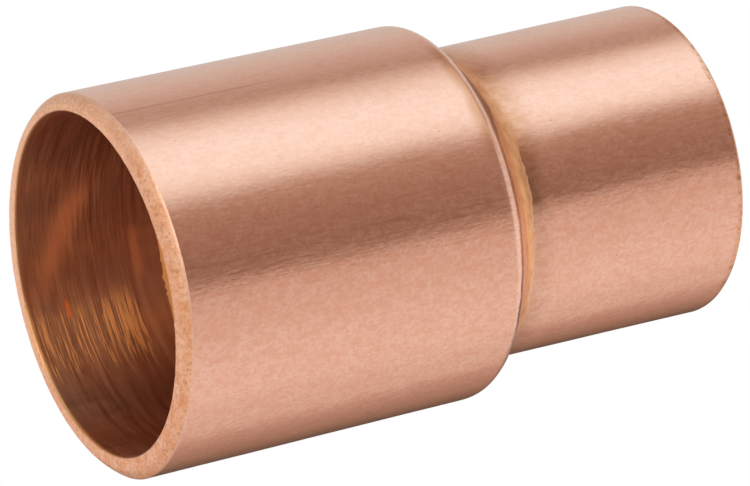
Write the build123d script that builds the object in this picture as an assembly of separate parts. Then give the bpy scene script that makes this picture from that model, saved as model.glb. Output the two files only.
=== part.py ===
"""Concentric reducer for soldered copper tube, 3/4 in fitting end to 1/2 in cup end.

The reducer is one piece of seamless copper tube. One end keeps the tube's full
outside diameter, so that it enters the cup of another fitting. The other end is
reduced over a short cone, then sized inside as a cup that takes a 1/2 in tube.
A narrower neck between the cone and the cup stops that tube.

Frame: the bore's axis lies along X, with the fitting end towards -X and the cup
end towards +X. +Z is up. The origin is on the axis, halfway along the length.
Every outline below is drawn as (distance from the fitting end's face, radius).
"""
import os
from math import cos, radians, sin, tan

from build123d import *

# Driving dimensions, millimetres
FITTING_OD = 22.225         # 3/4 in nominal tube is 7/8 in outside
TUBE_WALL = 1.143           # 0.045 in
LENGTH = 37.75              # end to end
SHOULDER_X = 21.53          # fitting end's face to the corner where the cone starts
CONE_ANGLE = 50.0           # degrees between the cone's surface and the axis
SHOULDER_RADIUS = 0.80      # outside, where the cylinder turns into the cone
NECK_OD = 18.43
NECK_RADIUS = 1.0           # outside, where the cone turns into the neck
CUP_OD = 18.68              # at the cup's face, just over the neck's diameter
CUP_BORE = 15.977           # 0.629 in, takes a 0.625 in tube
CUP_DEPTH = 13.0
STOP_BORE = 14.9            # narrower than the tube, so that the tube stops on it
RIM_LENGTH = 0.60           # rounded outer edge of the fitting end, along the axis
RIM_DROP = 0.60             # the same edge, measured across the wall
RIM_BREAK = 0.06            # sharp inner edge of the fitting end, deburred
CUP_LEAD_IN = 0.25          # chamfer inside the cup's mouth
CUP_EDGE_RADIUS = 0.15      # outer edge of the cup's face
INNER_RADIUS = 0.5          # inside corners of the cone
COPPER_DENSITY = 8.94e-6    # kg per cubic millimetre

FITTING_R = FITTING_OD / 2
FITTING_BORE_R = FITTING_R - TUBE_WALL
NECK_R = NECK_OD / 2
CUP_R = CUP_OD / 2
CUP_BORE_R = CUP_BORE / 2
STOP_R = STOP_BORE / 2
CONE = radians(CONE_ANGLE)


def outer_outline():
    """Outside of the fitting, from the fitting end's face to the cup's face."""
    cone_length = (FITTING_R - NECK_R) / tan(CONE)
    corners = [
        (RIM_LENGTH, FITTING_R),
        (SHOULDER_X, FITTING_R),
        (SHOULDER_X + cone_length, NECK_R),
        (LENGTH, CUP_R),
        (LENGTH, CUP_BORE_R + CUP_LEAD_IN),
    ]
    radii = [SHOULDER_RADIUS, NECK_RADIUS, CUP_EDGE_RADIUS]
    return FilletPolyline(*corners, radius=radii)


def inner_cone_start():
    """Where the bore's wall meets the inner cone, one wall thickness inside the outer cone."""
    inner_x = SHOULDER_X - TUBE_WALL * sin(CONE)
    inner_r = FITTING_R - TUBE_WALL * cos(CONE)
    return inner_x + (inner_r - FITTING_BORE_R) / tan(CONE)


def inner_outline():
    """Inside of the fitting, from the cup's mouth back to the fitting end's face."""
    cone_start = inner_cone_start()
    cone_end = cone_start + (FITTING_BORE_R - STOP_R) / tan(CONE)
    cup = Polyline(
        (LENGTH, CUP_BORE_R + CUP_LEAD_IN),
        (LENGTH - CUP_LEAD_IN, CUP_BORE_R),
        (LENGTH - CUP_DEPTH, CUP_BORE_R),
        (LENGTH - CUP_DEPTH, STOP_R),
    )
    bore = FilletPolyline(
        (LENGTH - CUP_DEPTH, STOP_R),
        (cone_end, STOP_R),
        (cone_start, FITTING_BORE_R),
        (RIM_BREAK, FITTING_BORE_R),
        radius=INNER_RADIUS,
    )
    return cup + bore


def fitting_rim():
    """Cut end of the fitting end: broken inner edge, flat ring, then the rounded outer edge."""
    face_inner = (0, FITTING_BORE_R + RIM_BREAK)
    face_outer = (0, FITTING_R - RIM_DROP)
    flat = Polyline((RIM_BREAK, FITTING_BORE_R), face_inner, face_outer)
    rounded = EllipticalCenterArc(
        (RIM_LENGTH, FITTING_R - RIM_DROP),
        RIM_LENGTH,
        RIM_DROP,
        start_angle=90,
        arc_size=90,
    )
    return flat + rounded


def reducer_body():
    """The whole fitting, turned about its axis and centred on the origin."""
    outline = outer_outline() + inner_outline() + fitting_rim()
    section = make_face(outline.edges())
    body = revolve(section, axis=Axis.X, revolution_arc=360)
    return Pos(-LENGTH / 2, 0, 0) * body


def main():
    os.makedirs("parts", exist_ok=True)
    body = reducer_body()
    body.label = "reducer_body"
    export_step(body, "parts/reducer_body.step")
    print(f"reducer_body: {body.volume:.1f} mm3, {body.volume * COPPER_DENSITY:.5f} kg of copper")


main()
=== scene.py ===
"""Looks of the concentric reducer: one formed copper tube, satin outside, cut rim, brushed bore.

The fitting's axis lies along X, with the open fitting end at -X. Everything is in
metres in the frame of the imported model. Outlines are (distance from the fitting
end's face, radius) pairs in millimetres, and are scaled once, when they are revolved.
"""
import math

import bmesh
import bpy
import numpy as np
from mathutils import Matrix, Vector, noise


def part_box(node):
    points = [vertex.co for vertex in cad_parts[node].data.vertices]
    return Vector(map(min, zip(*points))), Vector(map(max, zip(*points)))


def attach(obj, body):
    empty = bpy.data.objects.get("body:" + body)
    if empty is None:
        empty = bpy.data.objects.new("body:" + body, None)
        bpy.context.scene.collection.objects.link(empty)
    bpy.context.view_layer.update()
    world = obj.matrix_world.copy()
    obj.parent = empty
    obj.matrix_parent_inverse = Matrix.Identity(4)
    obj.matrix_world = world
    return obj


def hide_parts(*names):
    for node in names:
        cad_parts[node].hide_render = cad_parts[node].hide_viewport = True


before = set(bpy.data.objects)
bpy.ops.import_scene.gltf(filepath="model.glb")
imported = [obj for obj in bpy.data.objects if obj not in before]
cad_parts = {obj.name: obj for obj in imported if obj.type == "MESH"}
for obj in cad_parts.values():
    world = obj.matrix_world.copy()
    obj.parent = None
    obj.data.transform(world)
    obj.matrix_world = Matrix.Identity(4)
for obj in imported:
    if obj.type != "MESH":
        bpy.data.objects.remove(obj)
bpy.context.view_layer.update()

NODE = "reducer_body"
MM = 0.001

# ---- Sizes, millimetres, as in the CAD model -------------------------------
low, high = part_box(NODE)
LENGTH = (high[0] - low[0]) / MM
FITTING_R = 22.225 / 2
BORE_R = FITTING_R - 1.143
SHOULDER_X = 21.53
CONE = math.radians(50)
SHOULDER_RADIUS = 0.80
NECK_R = 18.43 / 2
NECK_RADIUS = 1.0
CUP_R = 18.68 / 2
CUP_BORE_R = 15.977 / 2
CUP_DEPTH = 13.0
STOP_R = 14.9 / 2
RIM_LENGTH = 0.60
RIM_DROP = 0.60
RIM_BREAK = 0.06
CUP_LEAD_IN = 0.25
CUP_EDGE_RADIUS = 0.15
INNER_RADIUS = 0.5

# ---- Unevenness that only this model has, as far as the photo shows it ------
# Lengths are millimetres. A middle and a half are degrees round the axis, from straight up
# towards the camera's side: the effect is full at the middle and gone a half away from it.
RIM_LEAN = 0.45                         # how steeply the rolled rim starts back from the face
BURR_MIDDLE, BURR_HALF = 67, 17
BURR_HEIGHT = 0.85                      # before its ragged edge is taken off
BURR_LENGTH, BURR_BASE = 0.5, 0.12      # along the axis, and across the wall either side of the bore
CHAMFER_MIDDLE, CHAMFER_HALF = 272, 62  # where the mouth's inner edge was deburred more
CHAMFER_DEPTH = 0.11
CHAMFER_LENGTH, CHAMFER_WIDTH = 1.0, 0.5
FULLER_MIDDLE, FULLER_HALF = 128, 55    # where the rolled rim reaches nearer to the face
FULLER_SHARE, FULLER_FADE = 0.5, 1.5
LONG_SINK, SHORT_SINK = 0.003, 0.010    # slow waves in the outside wall
NECK_SINK, NECK_SINK_AT, NECK_SINK_REACH = 0.035, SHOULDER_X + 1.5, 2.6     # all millimetres
BORE_RIPPLE = 0.010
PLAIN_MIDDLE, PLAIN_HALF = 194, 45      # where the bore ripples less
PLAIN_SHARE = 0.7
PITTING = 0.018                         # in the cut face of the rim
BORE_OFF_Y, BORE_OFF_Z = 0.17, 0.13     # the mouth's bore is slightly off centre

# ---- Mesh ------------------------------------------------------------------
SEGMENTS = 320
RIM_STEPS = 12
LIP_HEIGHT = 0.03                       # a burr above this takes the bore's material
OUTSIDE, RIM, BORE = 0, 1, 2


# ---- Outline ---------------------------------------------------------------
def straight(start, end, step):
    """Points from start up to, but not including, end."""
    start, end = np.array(start, float), np.array(end, float)
    count = max(1, round(float(np.linalg.norm(end - start)) / step))
    return [tuple(start + (end - start) * i / count) for i in range(count)]


def corner_arc(before, corner, after, radius, count):
    """The arc that rounds a corner between two straight runs."""
    corner = np.array(corner, float)
    to_before = np.array(before) - corner
    to_after = np.array(after) - corner
    to_before = to_before / np.linalg.norm(to_before)
    to_after = to_after / np.linalg.norm(to_after)
    half = math.acos(float(to_before @ to_after)) / 2
    bisector = (to_before + to_after) / np.linalg.norm(to_before + to_after)
    centre = corner + bisector * radius / math.sin(half)
    first = corner + to_before * radius / math.tan(half) - centre
    last = corner + to_after * radius / math.tan(half) - centre
    points = []
    for i in range(count + 1):
        share = i / count
        chord = first * (1 - share) + last * share
        points.append(tuple(centre + chord / np.linalg.norm(chord) * radius))
    return points


def rounded_path(corners, radii, steps, count=8):
    """Straight runs joined by arcs; radii and steps are one per inside corner and one per run."""
    path = []
    start = corners[0]
    for i, radius in enumerate(radii, 1):
        arc = corner_arc(corners[i - 1], corners[i], corners[i + 1], radius, count)
        path += straight(start, arc[0], steps[i - 1]) + arc[:-1]
        start = arc[-1]
    return path + straight(start, corners[-1], steps[-1])


def outline():
    """The closed section as (x, radius, region) rows, from the fitting end's inner edge and round."""
    cone_end = SHOULDER_X + (FITTING_R - NECK_R) / math.tan(CONE)
    inner_x = SHOULDER_X - (FITTING_R - BORE_R) * math.sin(CONE)
    inner_r = FITTING_R - (FITTING_R - BORE_R) * math.cos(CONE)
    inner_start = inner_x + (inner_r - BORE_R) / math.tan(CONE)
    inner_end = inner_start + (BORE_R - STOP_R) / math.tan(CONE)

    rim = straight((RIM_BREAK, BORE_R), (0, BORE_R + RIM_BREAK), 0.03)
    rim += straight((0, BORE_R + RIM_BREAK), (0, FITTING_R - RIM_DROP), 0.08)
    for i in range(RIM_STEPS):
        share = i / RIM_STEPS
        back = RIM_LENGTH * (RIM_LEAN * share + (1 - RIM_LEAN) * share ** 2)
        rim.append((back, FITTING_R - RIM_DROP + RIM_DROP * share))
    rim.append((RIM_LENGTH - 0.02, FITTING_R - 0.015))

    outside = rounded_path(
        [(RIM_LENGTH + 0.02, FITTING_R), (SHOULDER_X, FITTING_R), (cone_end, NECK_R),
         (LENGTH, CUP_R), (LENGTH, CUP_BORE_R + CUP_LEAD_IN)],
        [SHOULDER_RADIUS, NECK_RADIUS, CUP_EDGE_RADIUS],
        [0.36, 0.12, 0.36, 0.2],
    )
    outside.insert(1, (RIM_LENGTH + 0.07, FITTING_R))
    cup = straight((LENGTH, CUP_BORE_R + CUP_LEAD_IN), (LENGTH - CUP_LEAD_IN, CUP_BORE_R), 0.12)
    cup += straight((LENGTH - CUP_LEAD_IN, CUP_BORE_R), (LENGTH - CUP_DEPTH, CUP_BORE_R), 0.5)
    cup += straight((LENGTH - CUP_DEPTH, CUP_BORE_R), (LENGTH - CUP_DEPTH, STOP_R), 0.2)
    bore = rounded_path(
        [(LENGTH - CUP_DEPTH, STOP_R), (inner_end, STOP_R), (inner_start, BORE_R),
         (RIM_BREAK, BORE_R)],
        [INNER_RADIUS, INNER_RADIUS],
        [0.3, 0.25, 0.25],
        count=5,
    )
    rows = [(x, r, RIM) for x, r in rim]
    rows += [(x, r, OUTSIDE if x < LENGTH - 0.01 else RIM) for x, r in outside]
    rows += [(x, r, BORE) for x, r in cup + bore]
    return rows


# ---- The formed surface ----------------------------------------------------
def ripple(x, angle, per_turn, per_mm, seed):
    """Smooth noise from -1 to 1 on the wall, seamless round the axis."""
    return noise.noise(Vector((
        per_turn * math.cos(angle) + seed, per_turn * math.sin(angle), x * per_mm + seed)))


def bump_shape(value, centre, width):
    """1 at centre, falling smoothly to 0 at width away."""
    share = min(1.0, abs(value - centre) / width)
    return 1 - share * share * (3 - 2 * share)


def burr(x, r, angle):
    """The thin lip that deburring left along one stretch of the mouth's inner edge."""
    ragged = 0.6 + 0.4 * ripple(0.0, angle, 40.0, 1.0, 5.0)
    reach = bump_shape(math.degrees(angle), BURR_MIDDLE, BURR_HALF) * ragged
    return BURR_HEIGHT * reach * bump_shape(x, 0, BURR_LENGTH) * bump_shape(r, BORE_R, BURR_BASE)


def rim_shift(x, angle):
    """How far the rolled rim is drawn towards the face, where it is fuller."""
    fuller = FULLER_SHARE * bump_shape(math.degrees(angle), FULLER_MIDDLE, FULLER_HALF)
    share = x / RIM_LENGTH if x < RIM_LENGTH else bump_shape(x, RIM_LENGTH, FULLER_FADE)
    return RIM_LENGTH * fuller * share


def sink(x, angle):
    """How far the outside wall lies under its true radius, so that it never stands over it."""
    depth = LONG_SINK * (1 + ripple(x, angle, 2.2, 0.16, 3.0))
    depth += SHORT_SINK * (1 + ripple(x, angle, 6.0, 0.22, 47.0))
    neck = bump_shape(x, NECK_SINK_AT, NECK_SINK_REACH)
    return depth + neck * NECK_SINK * (1 + ripple(x, angle, 7.0, 1.6, 11.0)) / 2


def formed(x, r, region, angle):
    """A surface point moved by the small unevenness that cutting and swaging leave."""
    off_centre = 0.0
    if region == OUTSIDE or (region == RIM and r > FITTING_R - RIM_DROP):
        r -= sink(x, angle)
        if x < SHOULDER_X:
            x -= rim_shift(x, angle)
    if region == BORE and x < SHOULDER_X:
        off_centre = 1 - bump_shape(x, SHOULDER_X, SHOULDER_X - 2)
        plain = PLAIN_SHARE * bump_shape(math.degrees(angle), PLAIN_MIDDLE, PLAIN_HALF)
        r += BORE_RIPPLE * (1 - plain) * ripple(x, angle, 0.8, 3.2, 23.0) - burr(x, r, angle)
    chamfer = CHAMFER_DEPTH * bump_shape(math.degrees(angle), CHAMFER_MIDDLE, CHAMFER_HALF)
    if region == BORE:
        x += chamfer * bump_shape(x, 0, CHAMFER_LENGTH)
    if region == RIM and x < RIM_LENGTH:
        x += chamfer * bump_shape(r, BORE_R, CHAMFER_WIDTH)
        flat_end = FITTING_R - RIM_DROP
        off_centre = min(1.0, max(0.0, (flat_end - r) / (flat_end - BORE_R)))
        r -= burr(x, r, angle)
        x += PITTING * (1 + ripple(x, angle, 16.0, 1.0, 31.0)) * bump_shape(r, BORE_R + 0.2, 0.9)
    y = -r * math.sin(angle) + BORE_OFF_Y * off_centre
    return x, y, r * math.cos(angle) + BORE_OFF_Z * off_centre


def make_body():
    """The whole fitting: the outline carried round the axis, each point moved by formed()."""
    rows = outline()
    vertices, faces, slots = [], [], []
    for x, r, region in rows:
        for i in range(SEGMENTS):
            px, py, pz = formed(x, r, region, 2 * math.pi * i / SEGMENTS)
            vertices.append(((px - LENGTH / 2) * MM, py * MM, pz * MM))
    for j, (x, r, region) in enumerate(rows):
        below, above = j * SEGMENTS, (j + 1) % len(rows) * SEGMENTS
        for i in range(SEGMENTS):
            k = (i + 1) % SEGMENTS
            faces.append((below + i, below + k, above + k, above + i))
            lipped = region == RIM and burr(x, r, 2 * math.pi * i / SEGMENTS) > LIP_HEIGHT
            slots.append(BORE if lipped else region)
    mesh = bpy.data.meshes.new(NODE + "_formed")
    mesh.from_pydata(vertices, [], faces)
    mesh.polygons.foreach_set("material_index", slots)
    mesh.polygons.foreach_set("use_smooth", [True] * len(faces))
    mesh.update()
    body = bpy.data.objects.new("copper_reducer", mesh)
    bpy.context.collection.objects.link(body)
    return body


# ---- Materials -------------------------------------------------------------
COPPER = (0.93, 0.56, 0.43, 1)
COPPER_PALE = (0.96, 0.62, 0.50, 1)
COPPER_BROWN = (0.86, 0.47, 0.33, 1)
SCORE_BROWN = (0.62, 0.33, 0.22, 1)
SPECK = (0.42, 0.22, 0.14, 1)
# Painted shade for the crease beside the shoulder.
CREASE_SHADE_BROWN = (0.24, 0.11, 0.055, 1)
GOLD = (0.92, 0.51, 0.26, 1)
TAN = (0.68, 0.34, 0.19, 1)
DEEP_BROWN = (0.48, 0.27, 0.16, 1)
OLIVE = (0.62, 0.27, 0.125, 1)
FRAYED = (0.80, 0.42, 0.25, 1)
CUT_COPPER = (1.00, 0.65, 0.46, 1)
CUT_SHADE = (0.92, 0.48, 0.27, 1)
CUT_DARK = (0.70, 0.36, 0.21, 1)
CUT_GILT = (0.62, 0.34, 0.15, 1)
BORE_COPPER = (0.70, 0.31, 0.155, 1)
BORE_BROWN = (0.60, 0.27, 0.155, 1)
BORE_UMBER = (0.64, 0.325, 0.19, 1)
BORE_DARK = (0.44, 0.20, 0.11, 1)
BORE_GLOW = (1.00, 0.36, 0.15, 1)
BORE_GOLD = (1.00, 0.46, 0.17, 1)
BORE_GLINT = (1.00, 0.24, 0.06, 1)
BORE_LIP = (1.00, 0.56, 0.22, 1)
BURR_GOLD = (0.62, 0.25, 0.06, 1)


class Nodes:
    """A small helper that adds and links shader nodes. Lengths in its patterns are millimetres."""

    def __init__(self, tree):
        self.tree = tree

    def add(self, kind, **values):
        node = self.tree.nodes.new("ShaderNode" + kind)
        for name, value in values.items():
            setattr(node, name, value)
        return node

    def put(self, value, socket):
        """Links an output to a socket, or sets the socket to a plain value."""
        if isinstance(value, bpy.types.NodeSocket):
            self.tree.links.new(value, socket)
        elif value is not None:
            socket.default_value = value

    def math(self, operation, first, second=None):
        node = self.add("Math", operation=operation)
        self.put(first, node.inputs[0])
        self.put(second, node.inputs[1])
        return node.outputs[0]

    def joined(self, operation, values):
        result = values[0]
        for value in values[1:]:
            result = self.math(operation, result, value)
        return result

    def times(self, *values):
        return self.joined("MULTIPLY", values)

    def plus(self, *values):
        return self.joined("ADD", values)

    def minus(self, first, second):
        return self.math("SUBTRACT", first, second)

    def apart(self, value, centre):
        """How far a value is from a centre, either way."""
        return self.math("ABSOLUTE", self.minus(value, centre))

    def place(self, stretch=(1, 1, 1)):
        """Object coordinates in millimetres, each divided by its stretch."""
        node = self.add("Mapping", vector_type="POINT")
        node.inputs["Scale"].default_value = [1 / (MM * k) for k in stretch]
        self.put(self.add("TexCoord").outputs["Object"], node.inputs["Vector"])
        return node.outputs[0]

    def noise(self, size, stretch=(1, 1, 1), detail=2.0, rough=0.5, warp=0.0):
        """Noise from 0 to 1 whose features are about size millimetres, longer by stretch."""
        node = self.add("TexNoise")
        self.put(self.place(stretch), node.inputs["Vector"])
        node.inputs["Scale"].default_value = 1 / size
        node.inputs["Detail"].default_value = detail
        node.inputs["Roughness"].default_value = rough
        node.inputs["Distortion"].default_value = warp
        return node.outputs[0]

    def ease(self, value, start, end, low_value=0.0, high_value=1.0):
        """Runs smoothly from low_value at start to high_value at end."""
        node = self.add("MapRange", interpolation_type="SMOOTHSTEP")
        for number, socket in zip((value, start, end, low_value, high_value), node.inputs):
            self.put(number, socket)
        return node.outputs[0]

    def window(self, value, rise, fall, top=1.0):
        """0 below the rise, up to 1 over it, and from top down to 0 over the fall."""
        return self.times(self.ease(value, *rise), self.ease(value, *fall, top, 0.0))

    def mix(self, share, first, second):
        """The first colour where share is 0, the second where it is 1."""
        node = self.add("Mix", data_type="RGBA")
        self.put(share, node.inputs[0])
        self.put(first, node.inputs[6])
        self.put(second, node.inputs[7])
        return node.outputs[2]

    def bump(self, height, depth, under=None):
        """A bump of depth millimetres between height 0 and 1, on top of another bump."""
        node = self.add("Bump")
        node.inputs["Strength"].default_value = 1
        node.inputs["Distance"].default_value = depth * MM
        self.put(height, node.inputs["Height"])
        self.put(under, node.inputs["Normal"])
        return node.outputs[0]

    def along(self):
        """Distance from the fitting end's face, in millimetres."""
        split = self.add("SeparateXYZ")
        self.put(self.place(), split.inputs[0])
        return self.plus(split.outputs["X"], LENGTH / 2)

    def turn(self):
        """Degrees round the axis, from straight up towards the camera's side."""
        split = self.add("SeparateXYZ")
        self.put(self.place(), split.inputs[0])
        toward = self.times(split.outputs["Y"], -1.0)
        return self.math("DEGREES", self.math("ARCTAN2", toward, split.outputs["Z"]))

    def side(self, degrees):
        """1 on the side at this many degrees round the axis, smoothly down to -1 opposite it."""
        return self.math("COSINE", self.math("RADIANS", self.minus(self.turn(), degrees)))

    def round_axis(self):
        """Distance from the axis, in millimetres."""
        flat = self.add("VectorMath", operation="MULTIPLY")
        self.put(self.place(), flat.inputs[0])
        flat.inputs[1].default_value = (0, 1, 1)
        length = self.add("VectorMath", operation="LENGTH")
        self.put(flat.outputs[0], length.inputs[0])
        return length.outputs["Value"]


def new_material(name):
    """A bare metal, with a helper for its nodes and its shader."""
    material = bpy.data.materials.new(name)
    material.use_nodes = True
    tree = material.node_tree
    shader = tree.nodes["Principled BSDF"]
    shader.inputs["Metallic"].default_value = 1
    return material, Nodes(tree), shader


# Where marks lie: turns are degrees round the axis, the rest are millimetres from the mouth.
FRONT_TURN = 92                         # the middle of the side where the mottling shows most
SCORED_TURN = 67                        # the middle of the strip with lengthwise scores
DRAWN_TURN, DRAWN_START, DRAWN_END = 8.5, 8, 13
LIGHTEST_RIM_TURN = -60                    # where the cut rim is lightest and least rough
GILT_RIM_TURN = -18                     # where it has golden specks
UNCOMBED_TURN = -166                    # the middle of the strip of bore with no brush lines
TAWNY_TURN = -100                       # the bore is greyer away from here
BRUSHED_AND_LIT_TO = 7.2                        # where the brush lines, and the painted light on them, end
# The glow, the streak deeper in and the glint in the bore are painted reflections.
GLOW_TURN, GLOW_X, GLOW_SLANT = -91, 3.5, 0.09      # the slant is millimetres per degree
STREAK_X = 7.9
GLINT_X, GLINT_TURN = 2.72, -121


def drawn_wall(nodes, x, turn, front, blotch, specks):
    """The colour of the drawn wall: pale and brown clouds, specks, scores and one drawn line."""
    mottle = nodes.noise(1.1, (1.8, 1, 1), 4, 0.65, 0.5)
    peel = nodes.noise(0.20, (1.2, 1, 1), 2, 0.6)
    scores = nodes.noise(0.22, (26, 1, 1), 3, 0.6)
    clouds = nodes.times(nodes.ease(mottle, 0.32, 0.68, -0.6, 0.6), front)
    colour = nodes.mix(nodes.plus(clouds, 0.5), COPPER_PALE, COPPER)
    colour = nodes.mix(nodes.times(nodes.ease(blotch, 0.42, 0.70), front), colour, COPPER_BROWN)
    colour = nodes.mix(nodes.times(nodes.ease(peel, 0.40, 0.66), front), colour, COPPER_BROWN)
    colour = nodes.mix(nodes.times(specks, 0.6), colour, SPECK)
    strip = nodes.ease(nodes.side(SCORED_TURN), 0.980, 0.997, 0.0, 0.38)
    colour = nodes.mix(nodes.times(nodes.ease(scores, 0.54, 0.66), strip), colour, SCORE_BROWN)
    drawn = nodes.ease(nodes.apart(turn, DRAWN_TURN), 0.15, 0.7, 0.45, 0.0)
    drawn = nodes.times(drawn, nodes.ease(x, DRAWN_START, DRAWN_END, 1.0, 0.0))
    return nodes.mix(drawn, colour, SCORE_BROWN)


def gold_band(nodes, past, turn):
    """1 in the heat-tinted band beside the shoulder, whose two edges and softness vary by turn."""
    start = nodes.ease(turn, 38, 62, 0.30, 0.90)
    end = nodes.math("MINIMUM", nodes.ease(turn, 34, 48, 1.70, 2.10),
                     nodes.ease(turn, 62, 100, 2.10, 1.55))
    soft = nodes.math("MAXIMUM", nodes.ease(turn, 36, 50, 1.0, 0.14),
                      nodes.ease(turn, 72, 90, 0.14, 0.6))
    return nodes.times(nodes.ease(nodes.minus(past, start), 0, 0.2),
                       nodes.ease(nodes.minus(past, end), 0, soft, 1.0, 0.0))


def tinted_neck(nodes, colour, past, turn, blotch, streaks, gold):
    """The colour round the neck: painted shade by the shoulder and in the crease, a brown tint, the
    gold band.
    """
    # Painted shade: brown just before the shoulder, on the top towards the camera's side.
    painted_shoulder_shade = nodes.window(past, (-1.1, -0.4), (-0.25, 0.0))
    painted_shoulder_shade = nodes.times(painted_shoulder_shade, nodes.ease(nodes.side(30), 0.90, 0.97, 0.0, 0.80))
    colour = nodes.mix(painted_shoulder_shade, colour, TAN)

    # A brown tint past the gold band, stronger and longer on top, darker brown further round.
    brown_tint = nodes.window(past, (1.7, 2.1), (2.3, nodes.ease(turn, 30, 56, 4.6, 3.6)))
    brown_tint = nodes.times(brown_tint, nodes.ease(turn, 66, 78, 0.85, 0.35))
    brown_tint = nodes.times(brown_tint, nodes.ease(blotch, 0.35, 0.60, 0.60, 1.0))
    colour = nodes.mix(brown_tint, colour, nodes.mix(nodes.ease(turn, 44, 60), TAN, DEEP_BROWN))

    # The gold band: darker in streaks, and painted shade darkens it on the top side.
    streaks_and_painted_shade = nodes.times(nodes.ease(streaks, 0.40, 0.70), 0.5)
    streaks_and_painted_shade = nodes.plus(streaks_and_painted_shade, nodes.ease(turn, 36, 66, 0.50, 0.0))
    colour = nodes.mix(gold, colour, nodes.mix(streaks_and_painted_shade, GOLD, OLIVE))

    # Painted shade in the crease beside the shoulder, strongest on the front.
    outer = nodes.plus(past, nodes.ease(turn, 70, 100, 0.0, 0.22))
    inner = nodes.plus(outer, nodes.ease(turn, 30, 50, -0.95, 0.0))
    crease_shade = nodes.times(nodes.ease(outer, 0.10, 0.26), nodes.ease(inner, 0.42, 0.72, 1.0, 0.0))
    crease_shade = nodes.times(crease_shade, nodes.ease(nodes.side(80), -0.2, 0.75, 0.25, 0.85))
    return nodes.mix(crease_shade, colour, CREASE_SHADE_BROWN)


def frayed_edge(nodes, colour, x, wander):
    """The colour at the cup's outer edge, which is worn and nicked."""
    frayed = nodes.plus(x, nodes.times(wander, 1.2))
    frayed = nodes.ease(frayed, LENGTH - 0.45, LENGTH - 0.2)
    colour = nodes.mix(nodes.times(frayed, 0.7), colour, FRAYED)
    nicks = nodes.times(nodes.ease(nodes.noise(0.30, detail=3, rough=0.6), 0.50, 0.62), frayed)
    return nodes.mix(nodes.times(nicks, 0.8), colour, SPECK)


def outside_material():
    """Satin drawn copper: a fine lengthwise grain, faint mottling and specks, and a tinted neck with
    painted shade.
    """
    material, nodes, shader = new_material("copper_outside")
    x = nodes.along()
    turn = nodes.turn()
    grain = nodes.noise(0.17, (4, 1, 1), 3, 0.55)
    tooth = nodes.noise(0.24, (1.4, 1, 1), 3, 0.6)
    blotch = nodes.noise(0.42, (1.5, 1, 1), 3, 0.6, 0.3)
    streaks = nodes.noise(0.30, (1, 2.5, 2.5), 3, 0.6)
    specks = nodes.ease(nodes.noise(0.16, (1.5, 1, 1), 2, 0.5), 0.72, 0.80)
    front = nodes.ease(nodes.side(FRONT_TURN), 0.62, 0.90, 0.32, 0.72)
    wander = nodes.times(nodes.minus(nodes.noise(0.9, detail=4), 0.5), 0.5)
    past = nodes.minus(nodes.plus(x, wander), SHOULDER_X)
    gold = gold_band(nodes, past, turn)

    colour = drawn_wall(nodes, x, turn, front, blotch, specks)
    colour = tinted_neck(nodes, colour, past, turn, blotch, streaks, gold)
    nodes.put(frayed_edge(nodes, colour, x, wander), shader.inputs["Base Color"])

    rough = nodes.ease(grain, 0.3, 0.7, 0.17, 0.25)
    rough = nodes.plus(rough, nodes.times(gold, 0.28), nodes.times(specks, 0.2))
    nodes.put(rough, shader.inputs["Roughness"])

    normal = nodes.bump(nodes.times(grain, front), 0.007)
    normal = nodes.bump(nodes.times(tooth, front), 0.010, normal)
    nodes.put(nodes.bump(nodes.times(streaks, gold), 0.03, normal), shader.inputs["Normal"])
    return material


def rim_material():
    """Sawn and deburred copper: a granular orange face with a polished outer edge."""
    material, nodes, shader = new_material("copper_cut_rim")
    grit = nodes.noise(0.24, detail=4, rough=0.75)
    specks = nodes.noise(0.20, detail=3, rough=0.7)
    patches = nodes.noise(0.9, detail=4, rough=0.65)
    toward_lightest = nodes.side(LIGHTEST_RIM_TURN)
    darker_share = nodes.ease(toward_lightest, -0.4, 0.7, 1.0, 0.25)
    gilt = nodes.times(nodes.ease(nodes.side(GILT_RIM_TURN), 0.90, 0.98),
                       nodes.ease(specks, 0.40, 0.55))
    worn = nodes.ease(nodes.round_axis(), FITTING_R - 0.13, FITTING_R - 0.05)

    # Dark patches and grit show more away from the rim's lightest side.
    colour = nodes.mix(nodes.times(nodes.ease(patches, 0.35, 0.7), darker_share), CUT_COPPER, CUT_SHADE)
    colour = nodes.mix(nodes.times(nodes.ease(grit, 0.45, 0.70), darker_share), colour, CUT_DARK)
    colour = nodes.mix(nodes.times(gilt, 0.4), colour, CUT_GILT)
    colour = nodes.mix(nodes.times(nodes.ease(specks, 0.58, 0.72), 0.45), colour, SPECK)
    colour = nodes.mix(nodes.times(worn, 0.6), colour, COPPER_PALE)
    nodes.put(colour, shader.inputs["Base Color"])

    rough = nodes.math("MINIMUM", nodes.ease(worn, 0, 1, 0.58, 0.4),
                       nodes.ease(toward_lightest, 0.4, 1.0, 0.58, 0.44))
    nodes.put(rough, shader.inputs["Roughness"])
    nodes.put(nodes.bump(nodes.plus(grit, specks), 0.03), shader.inputs["Normal"])
    return material


def bore_glow(nodes, x, turn, edge, brush):
    """A slanted orange patch and a streak deeper in.

    In the photo these, and the glint, are probably reflections. Here they are colour and stay put.
    """
    slant = nodes.minus(nodes.times(nodes.minus(turn, GLOW_TURN), GLOW_SLANT), x)
    slant = nodes.plus(slant, nodes.ease(brush, 0.3, 0.7, -0.4, 0.4))
    patch = nodes.ease(nodes.apart(slant, -GLOW_X), 0.1, 1.5, 1.0, 0.0)
    patch = nodes.times(patch, nodes.window(turn, (-120, -102), (-88, -74), 0.8))
    streak = nodes.ease(nodes.apart(edge, STREAK_X), 0.05, 0.5, 0.7, 0.0)
    streak = nodes.times(streak, nodes.window(turn, (-119, -111), (-103, -96)))
    return nodes.math("MAXIMUM", patch, streak)


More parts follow.
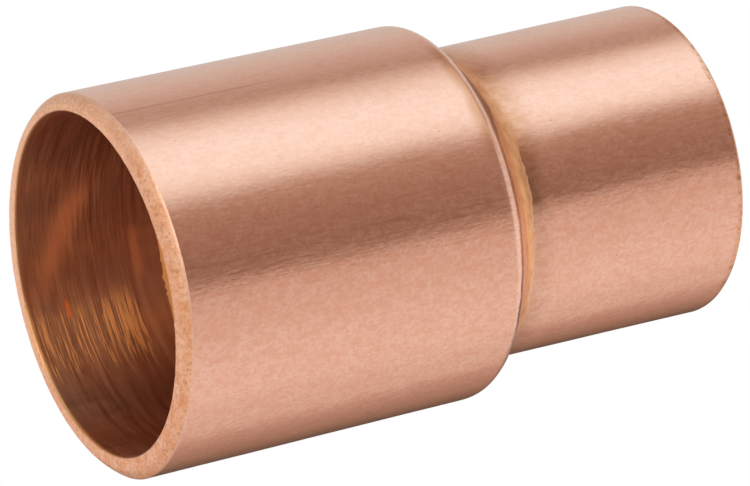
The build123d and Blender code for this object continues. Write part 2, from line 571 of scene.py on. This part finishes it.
def bore_material():
    """Wire-brushed bore: lines round the wall near the mouth, with one patch of painted light on
    them.
    """
    material, nodes, shader = new_material("copper_bore")
    x = nodes.along()
    turn = nodes.turn()
    lines = nodes.noise(0.11, (1, 30, 30), 3, 0.75)
    brush = nodes.noise(0.35, (1, 14, 14), 3, 0.6)
    stains = nodes.noise(2.6, (2.2, 1, 1), 4, 0.6, 0.6)
    bands = nodes.noise(1.5, (9, 1, 1), 3, 0.6)
    edge = nodes.plus(x, nodes.times(nodes.noise(1.2, (1, 2, 2)), 0.4))
    combed = nodes.ease(nodes.side(UNCOMBED_TURN), 0.914, 0.970, 1.0, 0.0)
    # The brush lines, and the painted light on them below, reach only so far into the bore.
    brushed = nodes.times(nodes.ease(edge, BRUSHED_AND_LIT_TO, BRUSHED_AND_LIT_TO + 0.2, 1.0, 0.0), combed)

    # A patch of painted light near the mouth: bright streaks, with the wall darker between them.
    ragged = nodes.plus(turn, nodes.times(nodes.minus(lines, 0.5), 34))
    patch = nodes.times(nodes.window(ragged, (-143, -138), (-121, -115)), brushed)
    fuller = nodes.plus(lines, nodes.ease(x, 3.2, 6.4, -0.02, 0.06))
    streaks = nodes.times(patch, nodes.ease(fuller, 0.48, 0.60))
    glow = bore_glow(nodes, x, turn, edge, brush)
    glint = nodes.times(nodes.ease(nodes.apart(x, GLINT_X), 0.05, 0.2, 1.0, 0.0),
                        nodes.ease(nodes.apart(turn, GLINT_TURN), 1.0, 4.5, 1.0, 0.0))
    dull = nodes.times(nodes.ease(lines, 0.36, 0.54, 1.0, 0.0), nodes.times(brushed, 0.8))
    banded = nodes.times(nodes.ease(bands, 0.40, 0.62), nodes.ease(combed, 0, 1, 0.55, 0.20))
    banded = nodes.times(banded, nodes.ease(x, 1.5, 5.0, 1.0, 0.0))

    colour = nodes.mix(nodes.ease(stains, 0.35, 0.65), BORE_COPPER, BORE_BROWN)
    colour = nodes.mix(nodes.ease(nodes.side(TAWNY_TURN), 0.85, 0.35), colour, BORE_UMBER)
    colour = nodes.mix(dull, colour, BORE_DARK)
    colour = nodes.mix(banded, colour, BORE_DARK)
    colour = nodes.mix(glow, colour, BORE_GLOW)
    colour = nodes.mix(nodes.times(patch, 0.55), colour, BORE_DARK)
    colour = nodes.mix(streaks, colour, BORE_GOLD)
    colour = nodes.mix(glint, colour, BORE_GLINT)
    lip = nodes.ease(x, 0.10, 0.32, 1.0, 0.0)
    raised = nodes.mix(nodes.ease(nodes.side(BURR_MIDDLE), 0.85, 0.94), BORE_LIP, BURR_GOLD)
    nodes.put(nodes.mix(lip, colour, raised), shader.inputs["Base Color"])

    rough = nodes.ease(brush, 0.3, 0.7, 0.34, 0.46)
    rough = nodes.plus(rough, nodes.times(streaks, 0.10), nodes.times(glow, 0.22))
    nodes.put(rough, shader.inputs["Roughness"])
    height = nodes.times(nodes.plus(lines, brush), brushed)
    nodes.put(nodes.bump(height, 0.014), shader.inputs["Normal"])

    shader.inputs["Anisotropic"].default_value = 0.8
    shader.inputs["Anisotropic Rotation"].default_value = 0.25
    tangent = nodes.add("Tangent", direction_type="RADIAL", axis="X")
    nodes.put(tangent.outputs[0], shader.inputs["Tangent"])
    return material


# ---- Studio ----------------------------------------------------------------
# What the studio shows in each direction round the part's axis, as (degrees from straight up
# towards the camera's side, light): across the part, then past its left and right ends.
ACROSS = [
    (-121, (0.10, 0.07, 0.05)),
    (-114, (0.26, 0.22, 0.20)),
    (-106, (0.66, 0.62, 0.60)),
    (-70, (0.68, 0.66, 0.62)),
    (-48, (0.57, 0.47, 0.43)),
    (-37, (0.43, 0.33, 0.27)),
    (-20, (0.92, 0.92, 0.88)),
    (-8, (1.09, 1.22, 1.27)),
    (12, (1.09, 1.20, 1.22)),
    (20, (0.96, 0.98, 0.94)),
    (31, (0.45, 0.31, 0.24)),
    (45, (0.38, 0.25, 0.20)),
    (74, (0.28, 0.185, 0.14)),
    (81, (0.69, 0.56, 0.50)),
    (100, (0.74, 0.63, 0.57)),
    (125, (0.84, 0.75, 0.71)),
    (145, (0.86, 0.78, 0.74)),
    (165, (0.75, 0.65, 0.60)),
    (185, (0.56, 0.41, 0.35)),
    (210, (0.31, 0.195, 0.135)),
    (226, (0.12, 0.08, 0.06)),
]
LEFT_END = [
    (-155, (0.60, 0.55, 0.51)),
    (-138, (1.04, 0.96, 0.94)),
    (-95, (1.12, 1.02, 1.00)),
    (-70, (0.62, 0.56, 0.52)),
    (-20, (0.52, 0.46, 0.42)),
    (10, (0.50, 0.44, 0.39)),
    (60, (0.48, 0.42, 0.37)),
    (88, (0.50, 0.44, 0.39)),
    (125, (0.98, 0.87, 0.79)),
    (155, (0.92, 0.82, 0.75)),
    (180, (0.66, 0.60, 0.55)),
]
RIGHT_END = [
    (-120, (0.70, 0.68, 0.67)),
    (0, (0.74, 0.72, 0.71)),
    (60, (0.74, 0.73, 0.72)),
    (90, (0.96, 0.94, 0.93)),
    (150, (0.96, 0.93, 0.92)),
    (190, (0.45, 0.35, 0.30)),
]
# A lamp on the left that shines into the mouth: the turns between which it brightens and
# fades, and how far its direction leans along the axis where it does the same.
SOFTBOX = (2.60, 2.40, 2.05, 1)
SOFTBOX_TURNS = ((9, 16), (54, 61))
SOFTBOX_LEANS = ((-0.12, -0.3), (-0.6, -0.75))
DOME_RADIUS = 1.2                       # metres, so that a camera seeing about 2.2 metres sees all of it
FLOOR_GAP = 0.0002                      # metres between the part and the floor


def band(nodes, turn, stops):
    """A colour for each angle round the axis, run smoothly through the stops."""
    ramp = nodes.add("ValToRGB")
    nodes.put(turn, ramp.inputs[0])
    elements = ramp.color_ramp.elements
    elements.remove(elements[-1])
    placed = sorted(((angle + 180) % 360 / 360, colour) for angle, colour in stops)
    elements[0].position, elements[0].color = placed[0][0], (*placed[0][1], 1)
    for place, colour in placed[1:]:
        elements.new(place).color = (*colour, 1)
    return ramp.outputs["Color"]


def studio_light():
    """A world that shows each direction its own light, so that the metal has something to mirror."""
    world = bpy.data.worlds.new("studio")
    bpy.context.scene.world = world
    world.use_nodes = True
    nodes = Nodes(world.node_tree)
    split = nodes.add("SeparateXYZ")
    nodes.put(nodes.add("TexCoord").outputs["Generated"], split.inputs[0])
    toward = nodes.times(split.outputs["Y"], -1.0)
    turn = nodes.math("ARCTAN2", toward, split.outputs["Z"])
    turn = nodes.math("FRACT", nodes.plus(nodes.math("DIVIDE", turn, 2 * math.pi), 0.5))
    left = nodes.ease(split.outputs["X"], -0.15, -0.55)
    right = nodes.ease(split.outputs["X"], 0.56, 0.76)
    light = nodes.mix(left, band(nodes, turn, ACROSS), band(nodes, turn, LEFT_END))
    light = nodes.mix(right, light, band(nodes, turn, RIGHT_END))
    turns = [[0.5 + angle / 360 for angle in edge] for edge in SOFTBOX_TURNS]
    softbox = nodes.times(nodes.window(turn, *turns),
                          nodes.window(split.outputs["X"], *SOFTBOX_LEANS))
    light = nodes.mix(softbox, light, SOFTBOX)
    nodes.put(light, world.node_tree.nodes["Background"].inputs["Color"])


def stage():
    """A plain white floor and dome that only the camera sees: the part neither mirrors them nor
    is lit by them, and they take no shadow."""
    material = bpy.data.materials.new("white_paper")
    material.use_nodes = True
    tree = material.node_tree
    tree.nodes.clear()
    nodes = Nodes(tree)
    glow = nodes.add("Emission")
    glow.inputs["Color"].default_value = (1, 1, 1, 1)
    nodes.put(glow.outputs[0], nodes.add("OutputMaterial").inputs["Surface"])
    shape = bmesh.new()
    bmesh.ops.create_uvsphere(shape, u_segments=64, v_segments=32, radius=DOME_RADIUS)
    for corner in shape.verts:
        corner.co.z = max(corner.co.z, low[2] - FLOOR_GAP)
    mesh = bpy.data.meshes.new("paper")
    shape.to_mesh(mesh)
    shape.free()
    mesh.materials.append(material)
    paper = bpy.data.objects.new("paper", mesh)
    bpy.context.collection.objects.link(paper)
    paper.visible_glossy = False
    paper.visible_diffuse = False
    paper.visible_shadow = False


# ---- Camera ----------------------------------------------------------------
# Fitted to the object's outline in the photo. The camera looks at a point that is this many
# metres right of and above the origin, as it sees them. Less than 0 is left and below.
AZIMUTH, ELEVATION = math.radians(-30.20), math.radians(23.37)
DISTANCE = 0.29163
LENS_MM, SENSOR_MM = 241.7, 36.0
AIM_RIGHT, AIM_UP = -0.00044, -0.00121


def make_camera():
    """The photo's own view."""
    data = bpy.data.cameras.new("camera")
    data.lens = LENS_MM
    data.sensor_width = SENSOR_MM
    data.clip_start = 0.01
    camera = bpy.data.objects.new("camera", data)
    bpy.context.collection.objects.link(camera)
    back = Vector((math.sin(AZIMUTH) * math.cos(ELEVATION),
                   -math.cos(AZIMUTH) * math.cos(ELEVATION), math.sin(ELEVATION)))
    rotation = back.to_track_quat("Z", "Y")
    camera.rotation_euler = rotation.to_euler()
    right = rotation @ Vector((1, 0, 0))
    up = rotation @ Vector((0, 1, 0))
    camera.location = back * DISTANCE + right * AIM_RIGHT + up * AIM_UP
    bpy.context.scene.camera = camera


# ---- Scene -----------------------------------------------------------------
body = make_body()
for make in (outside_material, rim_material, bore_material):
    body.data.materials.append(make())
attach(body, "root")
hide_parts(NODE)
studio_light()
stage()
make_camera()
bpy.context.scene.view_settings.view_transform = "Standard"
bpy.context.scene.view_settings.look = "None"
